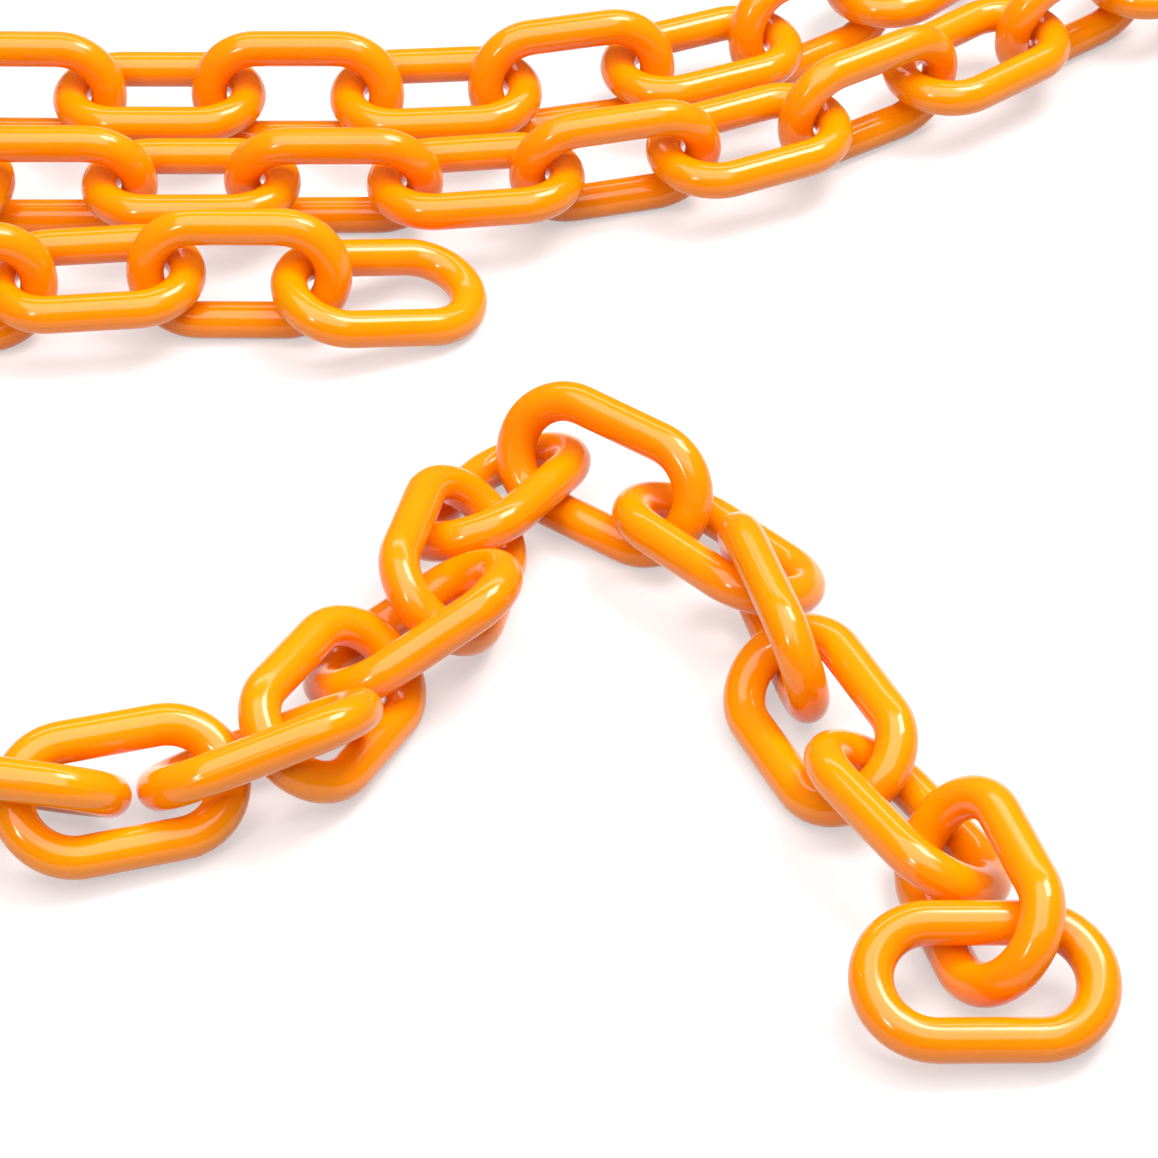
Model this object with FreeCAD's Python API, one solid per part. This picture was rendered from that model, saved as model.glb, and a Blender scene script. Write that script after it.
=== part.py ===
"""Plastic barrier chain: one unbroken length of equal oval links lying on a flat floor.

The first links form a loose strand with a free end. The strand runs on, pulled straight, into a
lane beside a heap, and the heap lays the same length back and forth in rows up to its other end.
Units are millimetres and degrees, +Z is up and the floor is z = 0.
"""
import FreeCAD, Part
import math
import os

# One link: a round bar bent to an oval with two straight sides
BAR_DIAMETER = 8.0
LINK_LENGTH = 48.0          # outside, along the link
LINK_WIDTH = 30.0           # outside, across the link
RUNNING_GAP = 0.5           # between the bars of two links that hang together

# How the length is laid out in a heap of rows beside the strand
ROW_GAP = 3.5               # between the outlines of two rows in the heap
FIRST_ROW_Y = 80.0          # middle of the row that ends the length
BEND_START_X = -40.0        # where the rows begin to curve away from the strand
BEND_RADIUS = 232.0         # of the first row
AIM_AHEAD = 1.5             # pitches; each link points to its row's line this far on
LANE_X = -211.5             # middle of the lane between the strand and the heap
LANE_Y = -62.0
UPRIGHT_LEAN = 82.0         # a row's links stand on edge and lie flat in turn
FLAT_LEAN = 0.0
FLAT_SAG = 1.0              # how far a flat link hangs below the middle of an upright one
LEAN_SPREAD = 3.0           # unevenness of the leans along a row
SPREAD_STEP = 2.3           # radians from one link to the next in that unevenness
# The far end link hangs from an upright link, its free end on the floor: turn from the row's own
# heading, lean to the side and nose-up slope; it sits to one side in the upright link's eye
FAR_END_POSE = (19.0, 8.0, -13.5)
FAR_END_LEFT = -2.3
LOOSE_LEAN = 45.0           # the strand's last links lean to one side and the other in turn
LEAN_CHANGE_LINKS = 2       # links over which those leans change to a row's

# The rows in the order they are reached: row, heading, links in the row, and the headings of the
# links that turn into the next row, measured from the row's own heading
COURSE = [
    (2, 0, 12, (-30, -120)),
    (1, 180, 11, (66, 156)),
    (0, 0, 4, ()),
]

# The loose strand from its free end: heading, lean to the side, nose-up slope, and how far the
# link is pushed back from a tight pull and to its left, in the eye of the link before it
FREE_END = (70.5, -115.5)
FREE_END_POSE = (3.0, 19.0, -3.0)
FREE_END_LIFT = 2.0         # the end link rides this high on the one that holds it
SIDE_HOOK = 5.5             # where the second link crosses the first one, from its middle
STRAND = [
    (106, -57, -2.5, 3.0, 0.0),
    (124, 41, 2.5, 8.5, 1.0),
    (116, -36, 2, 1.5, 0.5),
    (106, 82, 0, 6.5, -0.5),
    (134, 24, -1, 6.5, -5.5),
    (148, -52, 5, 2.5, -1.5),
    (239, 25, 8, 9.5, -8.5),
    (258, -42, 5.5, 7.5, 0.0),
    (210, 28, -18, 12.0, 6.5),
    (244, -37, 7, 6.0, 0.5),
    (196, 40, -14, 12.0, 4.0),
    (199, -30, 4, 5.0, 0.0),
    (171, 49, 1.5, 9.0, -1.0),
    (180, -38, 0, 2.0, 0.0),
]

# How finely a link's middle line is sampled, and how far a link may be tipped to meet its neighbour
ARC_STEPS = 14
SIDE_STEPS = 10
LARGEST_TIP = 25.0
TIP_STEP = 1.0
LARGEST_LIFT = 5.0
LIFT_STEP = 0.25
SEAT_TOLERANCE = 0.25
NEAR_LINKS = 3
BISECTIONS = 12
ROUTE_STEP = 1.0

BOW_RADIUS = (LINK_WIDTH - BAR_DIAMETER) / 2
EYE_REACH = (LINK_LENGTH - BAR_DIAMETER) / 2 - BOW_RADIUS     # link's middle to a bow's middle
TIGHT_REACH = 2 * BOW_RADIUS - BAR_DIAMETER - RUNNING_GAP     # eye to eye under a tight pull
PITCH = 2 * EYE_REACH + TIGHT_REACH
ROW_STEP = LINK_WIDTH + ROW_GAP


def bow_point(angle, end):
    """A point of a bow's middle line, in the link's own plane; end is 1 or -1."""
    turn = math.radians(angle)
    return (end * (EYE_REACH + BOW_RADIUS * math.cos(turn)), BOW_RADIUS * math.sin(turn))


def oval_points():
    """Points round the link's middle line, in the link's own plane."""
    points = []
    for end in (1, -1):
        for step in range(ARC_STEPS + 1):
            points.append(bow_point(-90 + 180 * step / ARC_STEPS, end))
        for step in range(1, SIDE_STEPS):
            along = EYE_REACH * (2 * step / SIDE_STEPS - 1)
            points.append((along, end * BOW_RADIUS))
    return points


OVAL = oval_points()


class Link:
    """One link's place: its middle, and its directions along, to its left and out of its plane."""

    def __init__(self, heading, lean, slope=0.0):
        self.heading = heading
        self.uprightness = 1.0 if abs(math.sin(math.radians(lean))) > 0.85 else 0.0
        turn, roll, rise = (math.radians(angle) for angle in (heading, lean, slope))
        ahead = FreeCAD.Vector(math.cos(turn), math.sin(turn), 0)
        left = FreeCAD.Vector(-math.sin(turn), math.cos(turn), 0)
        up = FreeCAD.Vector(0, 0, 1)
        self.along = ahead * math.cos(rise) + up * math.sin(rise)
        over = up * math.cos(rise) - ahead * math.sin(rise)
        self.side = left * math.cos(roll) + over * math.sin(roll)
        self.normal = over * math.cos(roll) - left * math.sin(roll)
        self.offsets = [self.along * x + self.side * y for x, y in OVAL]
        self.rest_height = self.extent(2)
        self.move_to(0, 0, self.rest_height)

    def move_to(self, x, y, z):
        self.middle = FreeCAD.Vector(x, y, z)
        self.points = [(x + p.x, y + p.y, z + p.z) for p in self.offsets]

    def extent(self, axis):
        """How far the link's outline reaches from its middle along X, Y or Z (0, 1 or 2)."""
        along, side = self.along[axis], self.side[axis]
        return EYE_REACH * abs(along) + BOW_RADIUS * math.hypot(along, side) + BAR_DIAMETER / 2

    def eye(self, end):
        return self.middle + self.along * (end * EYE_REACH)


def bar_gap(one, other):
    """The clear distance between the bars of two links."""
    nearest = min((a - d) ** 2 + (b - e) ** 2 + (c - f) ** 2
                  for a, b, c in one.points for d, e, f in other.points)
    return math.sqrt(nearest) - BAR_DIAMETER


def hung_from(eye, link, reach, left, height):
    """Put a link so that its near eye is reach ahead of a given eye and left of it."""
    turn = math.radians(link.heading)
    ahead = reach + EYE_REACH * math.hypot(link.along.x, link.along.y)
    x = eye.x + ahead * math.cos(turn) - left * math.sin(turn)
    y = eye.y + ahead * math.sin(turn) + left * math.cos(turn)
    link.move_to(x, y, height)
    return link


def lowered(earlier, link, eye, reach, left):
    """Lower a link until it rests on the floor or on a link before it, or give None."""
    def spare(lift):
        hung_from(eye, link, reach, left, link.rest_height + lift)
        return min(bar_gap(other, link) for other in earlier[-NEAR_LINKS:]) - RUNNING_GAP

    lift = 0.0
    while spare(lift) < 0:
        lift += LIFT_STEP
        if lift > LARGEST_LIFT:
            return None
    if lift > 0:
        low, high = lift - LIFT_STEP, lift
        for _ in range(BISECTIONS):
            middle = (low + high) / 2
            if spare(middle) >= 0:
                high = middle
            else:
                low = middle
        lift = high
    link.spare = spare(lift)
    return link


def settled(earlier, eye, pose, reach, left):
    """Lay a loose link down, tipped as little as it takes to rest against the links before it."""
    heading, lean, slope = pose

    def laid(tip):
        return lowered(earlier, Link(heading, lean + tip, slope), eye, reach, left)

    best = laid(0)
    if best and best.spare < SEAT_TOLERANCE:
        return best
    for step in range(1, int(LARGEST_TIP / TIP_STEP) + 1):
        for tip in (step * TIP_STEP, -step * TIP_STEP):
            link = laid(tip)
            if link and (best is None or link.spare < best.spare):
                best = link
                if best.spare < SEAT_TOLERANCE:
                    return best
    return best


def hook_point(before):
    """Where the next link turns sideways: a flat link's eye, or the bar at an upright link's end."""
    return before.eye(1) + before.along * (BOW_RADIUS * before.uprightness)


def pulled_tight(before, link, height, left=0.0):
    """Slide a link along its heading, away from the one before it, until their bars meet."""
    eye = hook_point(before)
    tight = TIGHT_REACH - BOW_RADIUS * before.uprightness

    def clear_gap(reach):
        return bar_gap(before, hung_from(eye, link, reach, left, height))

    free, shut = tight - BAR_DIAMETER / 4, tight + BAR_DIAMETER / 2
    while clear_gap(free) < RUNNING_GAP and free > -BAR_DIAMETER:
        free -= ROUTE_STEP
    for _ in range(BISECTIONS):
        middle = (free + shut) / 2
        if clear_gap(middle) >= RUNNING_GAP:
            free = middle
        else:
            shut = middle
    return hung_from(eye, link, free, left, height)


def loose_strand():
    """The links of the strand, each resting on the floor and against the one before it."""
    first = Link(*FREE_END_POSE)
    first.move_to(FREE_END[0], FREE_END[1], first.rest_height + FREE_END_LIFT)
    links = [first]
    for heading, lean, slope, slack, left in STRAND:
        before = links[-1]
        eye = before.eye(1)
        if before is first:
            eye = first.middle + first.along * SIDE_HOOK
        links.append(settled(links, eye, (heading, lean, slope), TIGHT_REACH - slack, left))
    return links


def row_point(row, x):
    """A point on a row's middle line; the rows curve away side by side past BEND_START_X."""
    offset = row * ROW_STEP
    radius = BEND_RADIUS - offset
    if x <= BEND_START_X:
        return (x, FIRST_ROW_Y + offset)
    turn = math.asin(min(1.0, (x - BEND_START_X) / radius))
    return (x, FIRST_ROW_Y + offset + radius * (1 - math.cos(turn)))


def heading_to(eye, spot):
    return math.degrees(math.atan2(spot[1] - eye.y, spot[0] - eye.x))


def row_heading(row, eye, sign):
    """The heading from an eye to the place on the row that is AIM_AHEAD pitches further on."""
    near, far = 0.0, 2 * AIM_AHEAD * PITCH
    for _ in range(BISECTIONS):
        middle = (near + far) / 2
        spot = row_point(row, eye.x + sign * middle)
        if math.hypot(spot[0] - eye.x, spot[1] - eye.y) < AIM_AHEAD * PITCH:
            near = middle
        else:
            far = middle
    return heading_to(eye, row_point(row, eye.x + sign * near))


def add_tight(links, heading, start):
    """Hang one more link on the last, on edge or flat in turn, and pull it tight."""
    index = len(links)
    change = min(1.0, (index - start + 1) / LEAN_CHANGE_LINKS)
    uneven = LEAN_SPREAD * math.sin(SPREAD_STEP * index)
    if index % 2 == 1:
        lean = UPRIGHT_LEAN + uneven
        link = Link(heading, LOOSE_LEAN + change * (lean - LOOSE_LEAN))
        height = link.rest_height
    else:
        lean = FLAT_LEAN + uneven
        link = Link(heading, -LOOSE_LEAN + change * (lean + LOOSE_LEAN))
        held = BAR_DIAMETER / 2 + BOW_RADIUS - FLAT_SAG
        height = link.rest_height + change * (held - link.rest_height)
    links.append(pulled_tight(links[-1], link, height))


def lane_links(links):
    """Follow the lane from the strand to the last row."""
    start = len(links)
    last_row = COURSE[0][0]
    top = row_point(last_row, LANE_X)[1]
    corners = [(LANE_X + PITCH, LANE_Y), (LANE_X, LANE_Y + PITCH), (LANE_X, top - PITCH)]
    for corner in corners:
        while math.hypot(links[-1].eye(1).x - corner[0], links[-1].eye(1).y - corner[1]) > PITCH / 2:
            add_tight(links, heading_to(links[-1].eye(1), corner), start)
    return start


def heap_links(links, start):
    for row, heading, count, turns in COURSE:
        sign = 1 if heading == 0 else -1
        for _ in range(count):
            add_tight(links, row_heading(row, links[-1].eye(1), sign), start)
        row_end = links[-1].heading
        for turn in turns:
            add_tight(links, row_end + turn, start)
    turn, lean, slope = FAR_END_POSE
    end = Link(links.pop().heading + turn, lean, slope)
    links.append(pulled_tight(links[-1], end, end.rest_height, FAR_END_LEFT))


def centre_on_origin(links):
    """Move the whole length so that the origin is on the floor under the middle of its outline."""
    middle = []
    for axis in (0, 1):
        low = min(link.middle[axis] - link.extent(axis) for link in links)
        high = max(link.middle[axis] + link.extent(axis) for link in links)
        middle.append((low + high) / 2)
    for link in links:
        link.move_to(link.middle.x - middle[0], link.middle.y - middle[1], link.middle.z)
    return middle


def link_solid(link):
    """The bar swept round the oval: two half rings and two straight sides, made one solid."""
    bar = BAR_DIAMETER / 2
    corners = [bow_point(angle, end) for end, angle in ((1, -90), (1, 90), (-1, 90), (-1, -90))]
    tips = [bow_point(0, 1), bow_point(0, -1)]
    spots = [FreeCAD.Vector(x, y, 0) for x, y in corners]
    east, west = (FreeCAD.Vector(x, y, 0) for x, y in tips)
    path = Part.Wire([
        Part.LineSegment(spots[3], spots[0]).toShape(),
        Part.Arc(spots[0], east, spots[1]).toShape(),
        Part.LineSegment(spots[1], spots[2]).toShape(),
        Part.Arc(spots[2], west, spots[3]).toShape()])
    section = Part.Wire([Part.Circle(spots[3], FreeCAD.Vector(1, 0, 0), bar).toShape()])
    solid = path.makePipeShell([section], True, True)
    m = link.middle
    place = FreeCAD.Matrix(link.along.x, link.side.x, link.normal.x, m.x,
                           link.along.y, link.side.y, link.normal.y, m.y,
                           link.along.z, link.side.z, link.normal.z, m.z, 0, 0, 0, 1)
    solid.Placement = FreeCAD.Placement(place)
    return solid


def chain_links():
    links = loose_strand()
    start = lane_links(links)
    heap_links(links, start)
    centre_on_origin(links)
    return links


def main():
    os.makedirs("parts", exist_ok=True)
    links = chain_links()
    for index, link in enumerate(links):
        link_solid(link).exportStep("parts/link_%02d.step" % (index + 1))
    print(len(links), "links, pitch", round(PITCH, 2))


if __name__ == "__main__":
    main()
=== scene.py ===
"""Finish of a length of plastic barrier chain: moulded links, their glossy plastic and the stage.

Run as a script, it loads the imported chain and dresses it. Each link is made once at the origin
and laid where its solid lies. Lengths are in metres.
"""
import math

import bmesh
import bpy
import numpy as np
from bpy.props import FloatProperty, FloatVectorProperty, IntProperty, PointerProperty
from mathutils import Matrix, Vector


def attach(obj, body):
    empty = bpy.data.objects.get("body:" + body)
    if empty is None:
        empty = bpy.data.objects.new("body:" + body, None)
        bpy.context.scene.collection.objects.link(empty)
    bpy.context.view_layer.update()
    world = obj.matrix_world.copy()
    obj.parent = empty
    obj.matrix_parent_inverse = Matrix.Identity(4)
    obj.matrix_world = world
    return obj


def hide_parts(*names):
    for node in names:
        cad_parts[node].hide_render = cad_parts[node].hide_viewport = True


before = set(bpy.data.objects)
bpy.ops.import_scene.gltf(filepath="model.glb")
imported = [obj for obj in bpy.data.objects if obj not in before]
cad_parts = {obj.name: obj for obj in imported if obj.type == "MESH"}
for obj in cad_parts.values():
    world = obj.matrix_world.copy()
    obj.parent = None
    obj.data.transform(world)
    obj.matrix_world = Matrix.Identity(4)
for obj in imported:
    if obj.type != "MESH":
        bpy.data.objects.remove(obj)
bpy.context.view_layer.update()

bl_info = {
    "name": "Plastic barrier chain",
    "version": (1, 0, 0),
    "blender": (4, 5, 0),
    "location": "3D View > Sidebar > Chain",
    "description": "Moulded links, glossy plastic and a pale studio floor for a barrier chain",
    "category": "Object",
}

PLASTIC_NAME = "Orange link plastic"
FLOOR_NAME = "Pale floor"

# The mould's marks, in metres, and the gate's place as shares of the way along and round the bar
SEAM_WIDTH = 0.00022
GATE_ALONG = 0.25
GATE_AROUND = 0.16
GATE_REACH = 0.0024
FLOW_HEIGHT = 0.00004
GRAIN_HEIGHT = 0.0000015

# Distance from the floor's middle within which its shadows are at full, in metres
SHADOW_REACH = 0.32


# Sizes and colours a user may change

class LinkSizes(bpy.types.PropertyGroup):
    """Sizes of one moulded link."""
    bar_diameter: FloatProperty(
        name="Bar diameter", description="Thickness of the round bar",
        default=0.008, min=0.003, max=0.02, unit="LENGTH")
    length: FloatProperty(
        name="Length", description="Outside length of a link",
        default=0.048, min=0.02, max=0.12, unit="LENGTH")
    width: FloatProperty(
        name="Width", description="Outside width of a link",
        default=0.030, min=0.015, max=0.08, unit="LENGTH")
    section_faces: IntProperty(
        name="Faces round the bar", description="Faces round the bar's section",
        default=36, min=12, max=96)
    bow_faces: IntProperty(
        name="Faces along a bow", description="Faces along each half-round end",
        default=30, min=8, max=96)
    side_faces: IntProperty(
        name="Faces along a side", description="Faces along each straight side",
        default=8, min=2, max=40)


class PlasticFinish(bpy.types.PropertyGroup):
    """Colour and surface of the moulded plastic."""
    colour: FloatVectorProperty(
        name="Colour", description="Main colour of the plastic",
        subtype="COLOR", size=3, min=0, max=1, default=(1.0, 0.315, 0.0))
    deep_colour: FloatVectorProperty(
        name="Deep colour", description="Colour where the melt ran thicker",
        subtype="COLOR", size=3, min=0, max=1, default=(1.0, 0.235, 0.0))
    roughness: FloatProperty(
        name="Roughness", description="Roughness of the polished surface",
        subtype="FACTOR", default=0.12, min=0, max=1)
    seam_height: FloatProperty(
        name="Seam height", description="Height of the mould's parting line",
        default=0.00005, min=0, max=0.001, unit="LENGTH")
    gate_height: FloatProperty(
        name="Gate mark height", description="Height of the creases round the gate mark",
        default=0.00007, min=0, max=0.001, unit="LENGTH")


class StageLook(bpy.types.PropertyGroup):
    """Floor, lamps and camera."""
    # The floor colour is pale with a pink tint. The tint is painted warm bounce light: the lit floor
    # clips to white, so the pink shows only in its shadows.
    floor_colour_and_painted_bounce: FloatVectorProperty(
        name="Floor colour", description="Colour of the floor",
        subtype="COLOR", size=3, min=0, max=1, default=(0.92, 0.84, 0.82))
    bounce_colour: FloatVectorProperty(
        name="Bounce colour", description="Colour with which the floor lights the links",
        subtype="COLOR", size=3, min=0, max=1, default=(0.43, 0.395, 0.38))
    floor_size: FloatProperty(
        name="Floor size", description="Length of the floor's side",
        default=8.0, min=1, max=20, unit="LENGTH")
    room_light: FloatProperty(
        name="Room light", description="Strength of the even light from all round",
        default=0.1, min=0, max=3)
    shadow_share: FloatProperty(
        name="Shadow strength", description="How strongly the floor shows the shadows",
        subtype="FACTOR", default=0.5, min=0, max=1)
    camera_place: FloatVectorProperty(
        name="Camera place", description="Where the camera stands",
        subtype="TRANSLATION", size=3, default=(0.03947, -0.61328, 0.4916))
    camera_tilt: FloatProperty(
        name="Camera tilt", description="Angle of the view below the horizon",
        subtype="ANGLE", default=math.radians(42.0))
    camera_lens: FloatProperty(
        name="Lens", description="Focal length on a 36 mm wide sensor",
        default=115.03, min=20, max=300, unit="CAMERA")


# Shader maths written as expressions

class Value:
    """A socket's output; arithmetic on it adds the Math nodes."""

    def __init__(self, shader, socket):
        self.shader = shader
        self.socket = socket

    def _maths(self, operation, *values):
        return self.shader.node("ShaderNodeMath", {"operation": operation}, dict(enumerate(values)))

    def __add__(self, other):
        return self._maths("ADD", self, other)

    def __sub__(self, other):
        return self._maths("SUBTRACT", self, other)

    def __rsub__(self, other):
        return self._maths("SUBTRACT", other, self)

    def __mul__(self, other):
        return self._maths("MULTIPLY", self, other)

    def __truediv__(self, other):
        return self._maths("DIVIDE", self, other)

    __radd__ = __add__
    __rmul__ = __mul__

    def __abs__(self):
        return self._maths("ABSOLUTE", self)

    def power(self, exponent):
        return self._maths("POWER", self, exponent)

    def clipped(self):
        return self.shader.node("ShaderNodeClamp", {}, {"Value": self})

    def sine(self):
        return self._maths("SINE", self)

    def turn_from(self, start):
        """How far round from a start, as a share of a turn from -0.5 to 0.5."""
        wrapped = self._maths("WRAP", self, 0.5, -0.5)
        return wrapped - start if start else wrapped


class Shader:
    """A material's or the world's node tree, emptied and built up by calls."""

    def __init__(self, owner):
        owner.use_nodes = True
        self.tree = owner.node_tree
        self.tree.nodes.clear()

    def node(self, kind, settings, sockets, output=0):
        made = self.tree.nodes.new(kind)
        for name, setting in settings.items():
            setattr(made, name, setting)
        for key, value in sockets.items():
            if isinstance(value, Value):
                self.tree.links.new(value.socket, made.inputs[key])
            else:
                made.inputs[key].default_value = value
        return Value(self, made.outputs[output])

    def mixed(self, factor, low, high):
        """A colour between two colours."""
        return self.node("ShaderNodeMix", {"data_type": "RGBA"},
                         {"Factor": factor, 6: low, 7: high}, output=2)

    def finish(self, surface, kind="ShaderNodeOutputMaterial"):
        made = self.tree.nodes.new(kind)
        self.tree.links.new(surface.socket, made.inputs["Surface"])


def opaque(colour):
    return (*colour, 1.0)


def plastic_material(finish, sizes):
    """Glossy moulded polyethylene with a parting line and a gate mark on each link."""
    material = bpy.data.materials.new(PLASTIC_NAME)
    shader = Shader(material)
    place = shader.node("ShaderNodeTexCoord", {}, {}, output="Object")
    strip = shader.node("ShaderNodeUVMap", {"uv_map": "strip"}, {})
    along = shader.node("ShaderNodeSeparateXYZ", {}, {"Vector": strip}, output="X")
    around = shader.node("ShaderNodeSeparateXYZ", {}, {"Vector": strip}, output="Y")

    flow = shader.node("ShaderNodeTexNoise", {"noise_dimensions": "3D"},
                       {"Vector": place, "Scale": 32.0, "Detail": 1.0, "Roughness": 0.4})
    cloud = shader.node("ShaderNodeTexNoise", {"noise_dimensions": "3D"},
                        {"Vector": place, "Scale": 14.0, "Detail": 2.0})
    depth = (flow * 0.5 + cloud * 0.9 - 0.35).clipped()
    colour = shader.mixed(depth, opaque(finish.colour), opaque(finish.deep_colour))

    half_bar = math.pi * sizes.bar_diameter / 2
    seam_width = SEAM_WIDTH / half_bar
    from_outer = abs(around.turn_from(0.0))
    outer_seam = (1.0 - from_outer / seam_width).clipped()

    loop = 2 * (sizes.length - sizes.width) + math.pi * (sizes.width - sizes.bar_diameter)
    gate_along = (along - GATE_ALONG) * loop
    gate_around = around.turn_from(GATE_AROUND) * (2 * half_bar)
    spread = (gate_along * gate_along + gate_around * gate_around).power(0.5)
    near_gate = (1.0 - spread / GATE_REACH).clipped()
    turn = shader.node("ShaderNodeMath", {"operation": "ARCTAN2"}, {0: gate_around, 1: gate_along})
    creases = (turn * 2.0 + spread * 2600.0 + flow * 5.0).sine() * near_gate * near_gate

    grain = shader.node("ShaderNodeTexNoise", {"noise_dimensions": "3D"},
                        {"Vector": place, "Scale": 190.0, "Detail": 2.0})
    height = (outer_seam * finish.seam_height + creases * finish.gate_height
              + flow * FLOW_HEIGHT + grain * GRAIN_HEIGHT)
    bump = shader.node("ShaderNodeBump", {},
                       {"Strength": 1.0, "Distance": 1.0, "Height": height})
    roughness = (finish.roughness + flow * 0.05 + outer_seam * 0.1).clipped()

    surface = shader.node("ShaderNodeBsdfPrincipled", {}, {
        "Base Color": colour, "Roughness": roughness, "Normal": bump,
        "IOR": 1.51, "Specular IOR Level": 0.38, "Coat Weight": 0.12, "Coat Roughness": 0.05,
        "Subsurface Weight": 0.22, "Subsurface Radius": (1.0, 0.35, 0.08),
        "Subsurface Scale": 0.0035})
    shader.finish(surface)
    return material


def floor_material(colour, bounce_colour, shadow_share):
    """Matt pale floor, whitened where it is seen directly or in reflections so that its shadows stay
    soft. Its colour is tinted pink: this is painted warm bounce light, which shows only in the
    floor's shadows.
    """
    material = bpy.data.materials.new(FLOOR_NAME)
    shader = Shader(material)
    seen = (shader.node("ShaderNodeLightPath", {}, {}, output="Is Camera Ray")
            + shader.node("ShaderNodeLightPath", {}, {}, output="Is Glossy Ray")).clipped()
    matt = shader.node("ShaderNodeBsdfDiffuse", {}, {
        # The colour seen here carries a pink tint, painted warm bounce light in the floor's shadows.
        "Color": shader.mixed(seen, opaque(bounce_colour), opaque(colour))})
    white = shader.node("ShaderNodeEmission", {}, {"Color": (1, 1, 1, 1), "Strength": 1.0})
    place = shader.node("ShaderNodeTexCoord", {}, {}, output="Object")
    away = shader.node("ShaderNodeVectorMath", {"operation": "LENGTH"}, {0: place}, output="Value")
    near = (1.0 - (away - SHADOW_REACH) / SHADOW_REACH).clipped()
    surface = shader.node("ShaderNodeMixShader", {},
                          {0: seen * (1.0 - near * shadow_share), 1: matt, 2: white})
    shader.finish(surface)
    return material


# One moulded link, made at the origin with its length along X and its eye facing Z

def ring_of(extruded):
    """The new vertices and edges of an extrusion."""
    verts = [item for item in extruded["geom"] if isinstance(item, bmesh.types.BMVert)]
    edges = [item for item in extruded["geom"] if isinstance(item, bmesh.types.BMEdge)]
    return verts, edges


def add_side(bm, edges, run, steps):
    """A straight side: the bar's section pushed along in steps."""
    for _ in range(steps):
        verts, edges = ring_of(bmesh.ops.extrude_edge_only(bm, edges=edges))
        ring = set(verts)
        edges = [edge for edge in edges if ring.issuperset(edge.verts)]
        bmesh.ops.translate(bm, verts=verts, vec=Vector((run / steps, 0, 0)))
    return verts, edges


def add_bow(bm, verts, edges, centre, steps):
    """A half-round end: the bar's section spun about the middle of the eye's end."""
    spun = bmesh.ops.spin(bm, geom=verts + edges, cent=centre, axis=(0, 0, 1),
                          angle=math.pi, steps=steps, use_merge=False)
    last = spun["geom_last"]
    return ([item for item in last if isinstance(item, bmesh.types.BMVert)],
            [item for item in last if isinstance(item, bmesh.types.BMEdge)])


def strip_place(spot, sizes):
    """Where a point lies along the bar and round it, each as a share of one turn."""
    bow = (sizes.width - sizes.bar_diameter) / 2
    reach = (sizes.length - sizes.width) / 2
    loop = 4 * reach + 2 * math.pi * bow
    if abs(spot.x) <= reach:
        out = abs(spot.y) - bow
        along = spot.x if spot.y < 0 else loop / 2 - spot.x
    else:
        end = math.copysign(reach, spot.x)
        flat = Vector((spot.x - end, spot.y))
        out = flat.length - bow
        along = math.atan2(flat.y, flat.x) * bow + reach + bow * math.pi / 2
        if spot.x < 0:
            along = loop / 2 + reach + bow * math.pi / 2 + math.atan2(-flat.y, -flat.x) * bow
    around = math.atan2(spot.z, out) / (2 * math.pi)
    return (along / loop) % 1.0, around % 1.0


def unwrap_strip(bm, sizes):
    """Write the strip map, with faces over its ends kept in one piece."""
    layer = bm.loops.layers.uv.new("strip")
    for face in bm.faces:
        first = None
        for corner in face.loops:
            place = strip_place(corner.vert.co, sizes)
            if first is None:
                first = place
            corner[layer].uv = tuple(
                value + round(start - value) for value, start in zip(place, first))


def moulded_link_mesh(sizes):
    """The bar carried round the link: side, bow, side, bow, welded where it meets."""
    bow = (sizes.width - sizes.bar_diameter) / 2
    reach = (sizes.length - sizes.width) / 2
    bm = bmesh.new()
    bmesh.ops.create_circle(bm, cap_ends=False, segments=sizes.section_faces,
                            radius=sizes.bar_diameter / 2)
    bmesh.ops.rotate(bm, verts=bm.verts, cent=(0, 0, 0), matrix=Matrix.Rotation(math.pi / 2, 3, "Y"))
    bmesh.ops.translate(bm, verts=bm.verts, vec=(-reach, -bow, 0))
    verts, edges = add_side(bm, bm.edges[:], 2 * reach, sizes.side_faces)
    verts, edges = add_bow(bm, verts, edges, (reach, 0, 0), sizes.bow_faces)
    verts, edges = add_side(bm, edges, -2 * reach, sizes.side_faces)
    add_bow(bm, verts, edges, (-reach, 0, 0), sizes.bow_faces)
    bmesh.ops.remove_doubles(bm, verts=bm.verts, dist=sizes.bar_diameter / 1000)
    bmesh.ops.recalc_face_normals(bm, faces=bm.faces)
    unwrap_strip(bm, sizes)
    for face in bm.faces:
        face.smooth = True
    mesh = bpy.data.meshes.new("Moulded link")
    bm.to_mesh(mesh)
    bm.free()
    return mesh


def solid_place(node):
    """Where a link's solid lies: a matrix from the moulded link's own place."""
    mesh = node.data
    mesh.calc_loop_triangles()
    spots = np.array([vert.co for vert in mesh.vertices])
    corners = spots[np.array([tri.vertices for tri in mesh.loop_triangles])]
    sides = np.cross(corners[:, 1] - corners[:, 0], corners[:, 2] - corners[:, 0])
    areas = np.linalg.norm(sides, axis=1) / 2
    middle = (corners.mean(axis=1) * areas[:, None]).sum(axis=0) / areas.sum()
    corners = corners - middle
    total = corners.sum(axis=1)
    spread = np.einsum("t,tci,tcj->ij", areas, corners, corners)
    spread += np.einsum("t,ti,tj->ij", areas, total, total)
    _, axes = np.linalg.eigh(spread)
    along, side = Vector(axes[:, 2]), Vector(axes[:, 1])
    normal = along.cross(side)
    if normal.z < 0:
        side, normal = -side, -normal
    turn = Matrix((along, side, normal)).transposed().to_4x4()
    return Matrix.Translation(Vector(middle)) @ turn


# Operators, one for the links and one for the stage

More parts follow.
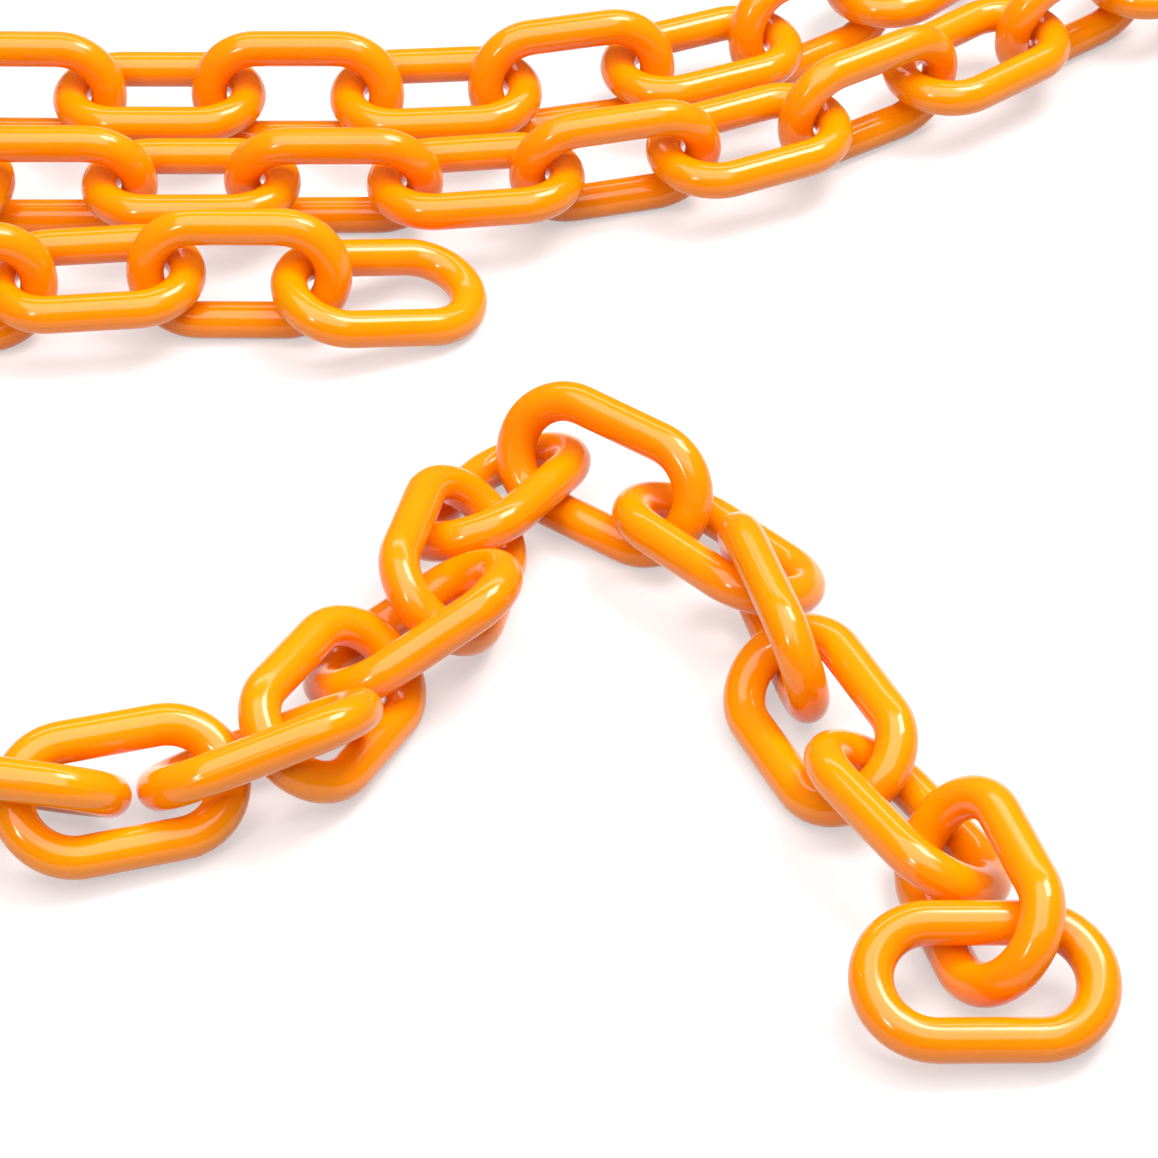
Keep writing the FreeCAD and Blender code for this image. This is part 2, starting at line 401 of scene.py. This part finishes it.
class CHAIN_OT_links(bpy.types.Operator):
    """Mould every link and lay it where its solid lies"""
    bl_idname = "chain.links"
    bl_label = "Links"

    def execute(self, context):
        scene = context.scene
        sizes = scene.chain_link_sizes
        master = moulded_link_mesh(sizes)
        master.materials.append(plastic_material(scene.chain_finish, sizes))
        for name, node in sorted(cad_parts.items()):
            mesh = master.copy()
            mesh.transform(solid_place(node))
            link = bpy.data.objects.new("moulded_" + name, mesh)
            scene.collection.objects.link(link)
            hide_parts(name)
            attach(link, name)
        bpy.data.meshes.remove(master)
        return {"FINISHED"}


def add_lamp(name, spot, aim, width, depth, power):
    """A soft box at a spot, facing an aim."""
    lamp = bpy.data.lights.new(name, "AREA")
    lamp.shape = "RECTANGLE"
    lamp.size, lamp.size_y = width, depth
    lamp.energy = power
    holder = bpy.data.objects.new(name, lamp)
    bpy.context.scene.collection.objects.link(holder)
    holder.location = spot
    holder.rotation_euler = (Vector(aim) - Vector(spot)).to_track_quat("-Z", "Y").to_euler()


class CHAIN_OT_stage(bpy.types.Operator):
    """Lay the floor and set the lamps, the room's light and the camera"""
    bl_idname = "chain.stage"
    bl_label = "Stage"

    def execute(self, context):
        scene = context.scene
        look = scene.chain_stage
        bm = bmesh.new()
        bmesh.ops.create_grid(bm, x_segments=1, y_segments=1, size=look.floor_size / 2)
        mesh = bpy.data.meshes.new("Floor")
        bm.to_mesh(mesh)
        bm.free()
        mesh.materials.append(floor_material(
            look.floor_colour_and_painted_bounce, look.bounce_colour, look.shadow_share))
        floor = bpy.data.objects.new("floor", mesh)
        scene.collection.objects.link(floor)

        add_lamp("Long box behind", (0.1, 0.75, 0.95), (0, 0, 0), 1.5, 0.2, 4.0)
        add_lamp("Box at the right", (0.55, 0.2, 1.1), (0, -0.05, 0), 0.45, 0.45, 10.0)
        add_lamp("Wide box above", (0.0, -0.26, 1.0), (0, -0.05, 0), 1.1, 1.1, 13.0)
        add_lamp("Small window", (-0.55, -0.95, 0.85), (0, 0, 0), 0.14, 0.26, 3.0)

        world = bpy.data.worlds.new("Room")
        shader = Shader(world)
        seen = shader.node("ShaderNodeLightPath", {}, {}, output="Is Camera Ray")
        strength = seen * (1.0 - look.room_light) + look.room_light
        sky = shader.node("ShaderNodeBackground", {},
                          {"Color": (1, 1, 1, 1), "Strength": strength})
        shader.finish(sky, "ShaderNodeOutputWorld")
        scene.world = world

        camera = bpy.data.cameras.new("Camera")
        camera.sensor_width = 36.0
        camera.lens = look.camera_lens
        camera.clip_start = 0.01
        holder = bpy.data.objects.new("Camera", camera)
        scene.collection.objects.link(holder)
        holder.location = look.camera_place
        holder.rotation_euler = (math.pi / 2 - look.camera_tilt, 0, 0)
        scene.camera = holder
        scene.view_settings.view_transform = "Standard"
        return {"FINISHED"}


class CHAIN_PT_panel(bpy.types.Panel):
    """Sizes, finish and stage of the chain"""
    bl_idname = "CHAIN_PT_panel"
    bl_label = "Plastic barrier chain"
    bl_space_type = "VIEW_3D"
    bl_region_type = "UI"
    bl_category = "Chain"

    def draw(self, context):
        scene = context.scene
        for group in (scene.chain_link_sizes, scene.chain_finish, scene.chain_stage):
            box = self.layout.box()
            for name in group.__annotations__:
                box.prop(group, name)
        self.layout.operator(CHAIN_OT_links.bl_idname)
        self.layout.operator(CHAIN_OT_stage.bl_idname)


CLASSES = (LinkSizes, PlasticFinish, StageLook, CHAIN_OT_links, CHAIN_OT_stage, CHAIN_PT_panel)


def register():
    for cls in CLASSES:
        bpy.utils.register_class(cls)
    bpy.types.Scene.chain_link_sizes = PointerProperty(type=LinkSizes)
    bpy.types.Scene.chain_finish = PointerProperty(type=PlasticFinish)
    bpy.types.Scene.chain_stage = PointerProperty(type=StageLook)


def unregister():
    del bpy.types.Scene.chain_stage
    del bpy.types.Scene.chain_finish
    del bpy.types.Scene.chain_link_sizes
    for cls in reversed(CLASSES):
        bpy.utils.unregister_class(cls)


def main():
    register()
    bpy.ops.chain.links()
    bpy.ops.chain.stage()


if __name__ == "__main__":
    main()
